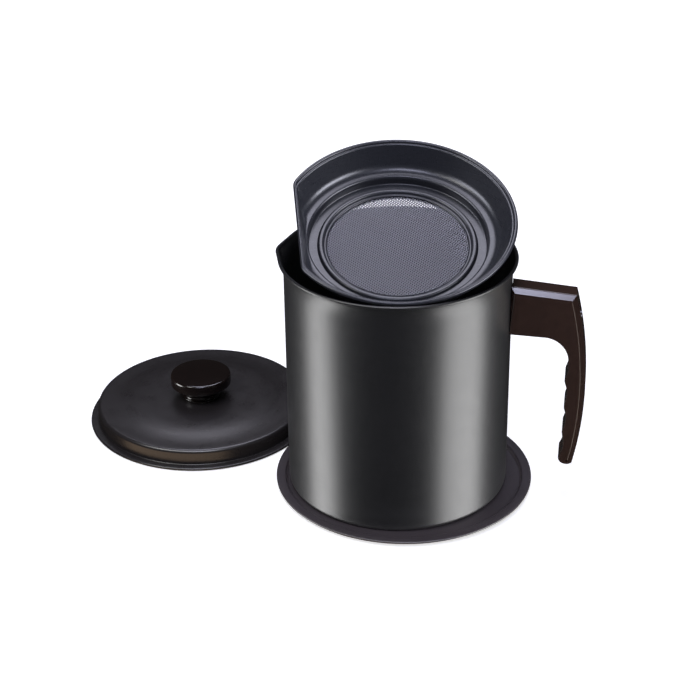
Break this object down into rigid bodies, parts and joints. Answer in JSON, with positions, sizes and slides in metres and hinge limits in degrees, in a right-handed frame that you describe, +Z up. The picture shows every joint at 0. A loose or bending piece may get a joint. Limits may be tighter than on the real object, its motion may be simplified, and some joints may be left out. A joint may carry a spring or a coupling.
{
  "type": "grease container",
  "caption": "Black nonstick can with a pouring lip and bakelite side handle, standing on a round tray, with a flat-sided mesh strainer tilted in its mouth and a knobbed lid beside it.",
  "frame": {"origin": "where the can's axis meets the floor, on the flat underside of the tray", "axes": "+X runs from the can's axis through the handle, +Z is up, the pouring spout is on the -X side"},
  "size_m": [0.313, 0.2048, 0.1921],
  "materials": {
    "nonstick_steel": "satin black nonstick coating on drawn steel",
    "strainer_coating": "semi-gloss slate grey nonstick coating on drawn steel",
    "bakelite": "glossy dark brown-black phenolic moulding",
    "zinc_steel": "zinc-plated steel",
    "stainless_wire": "woven stainless wire",
    "brass": "turned brass"
  },
  "bodies": {
    "tray": {"coaster_tray": "nonstick_steel"},
    "can": {"can_body": "nonstick_steel", "handle_bracket": "zinc_steel", "handle_grip": "bakelite", "handle_screw": "zinc_steel", "handle_washer": "zinc_steel", "handle_nut": "zinc_steel"},
    "strainer": {"strainer_pan": "strainer_coating", "strainer_mesh": "stainless_wire", "mesh_clamp": "strainer_coating"},
    "lid": {"lid_cover": "nonstick_steel", "lid_knob": "bakelite", "knob_insert": "brass", "knob_washer": "zinc_steel", "knob_screw": "zinc_steel"}
  },
  "joints": [
    {"name": "can_lift", "type": "slide", "parent": "tray", "child": "can", "axis": [0, 0, 1], "range_m": [0, 0.15]},
    {"name": "lid_lift", "type": "slide", "parent": "tray", "child": "lid", "axis": [0, 0, 1], "range_m": [0, 0.2]},
    {"name": "strainer_tip", "type": "hinge", "parent": "can", "child": "strainer", "pos_m": [0.01132, -0.06421, 0.14673], "axis": [0.9848, 0.1736, 0], "range_deg": [-19.8, 40]}
  ]
}
